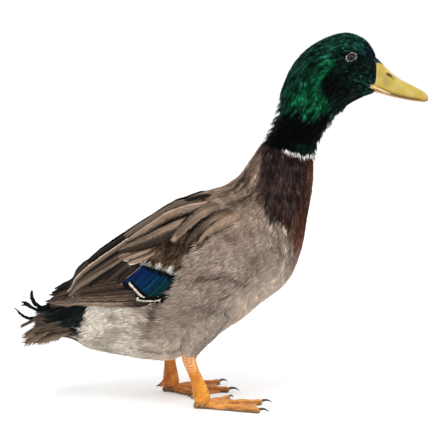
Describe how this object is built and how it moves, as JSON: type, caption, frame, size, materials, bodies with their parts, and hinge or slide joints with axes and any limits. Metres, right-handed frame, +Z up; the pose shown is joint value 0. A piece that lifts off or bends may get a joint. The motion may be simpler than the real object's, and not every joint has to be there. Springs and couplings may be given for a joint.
{
  "type": "mallard drake",
  "caption": "Life-size standing mallard drake with folded wings, curled tail feathers, a flat bill and webbed feet, as a still museum model.",
  "frame": {"origin": "on the floor, under the middle of the object's box; the bird's own middle plane is Y = -6 mm", "axes": "+X forward, the way the bill points; +Y to the bird's left; +Z up"},
  "size_m": [0.4126, 0.1362, 0.3685],
  "materials": {
    "body_plumage": "soft grey down with fine barring",
    "breast_plumage": "soft purplish-brown feathers",
    "head_plumage": "glossy green feathers",
    "wing_plumage": "smooth brown vanes, one blue patch",
    "tail_plumage": "smooth brown vanes with pale edges",
    "curl_plumage": "glossy black feathers",
    "bill": "smooth, satin",
    "eye": "polished",
    "leg_skin": "scaled, satin",
    "claw": "horn"
  },
  "bodies": {
    "root": {"trunk": "body_plumage", "neck": "breast_plumage", "head": "head_plumage", "bill_upper": "bill", "bill_lower": "bill", "eye_right": "eye", "eye_left": "eye", "wing_right": "wing_plumage", "wing_left": "wing_plumage", "tail": "tail_plumage", "tail_curl_upright": "curl_plumage", "tail_curl_forked": "curl_plumage", "tail_curl_long": "curl_plumage", "thigh_right": "body_plumage", "thigh_left": "body_plumage", "shank_right": "leg_skin", "shank_left": "leg_skin", "foot_right": "leg_skin", "foot_left": "leg_skin", "claw_right_inner": "claw", "claw_right_middle": "claw", "claw_right_outer": "claw", "claw_right_hind": "claw", "claw_left_inner": "claw", "claw_left_middle": "claw", "claw_left_outer": "claw", "claw_left_hind": "claw"}
  },
  "joints": []
}
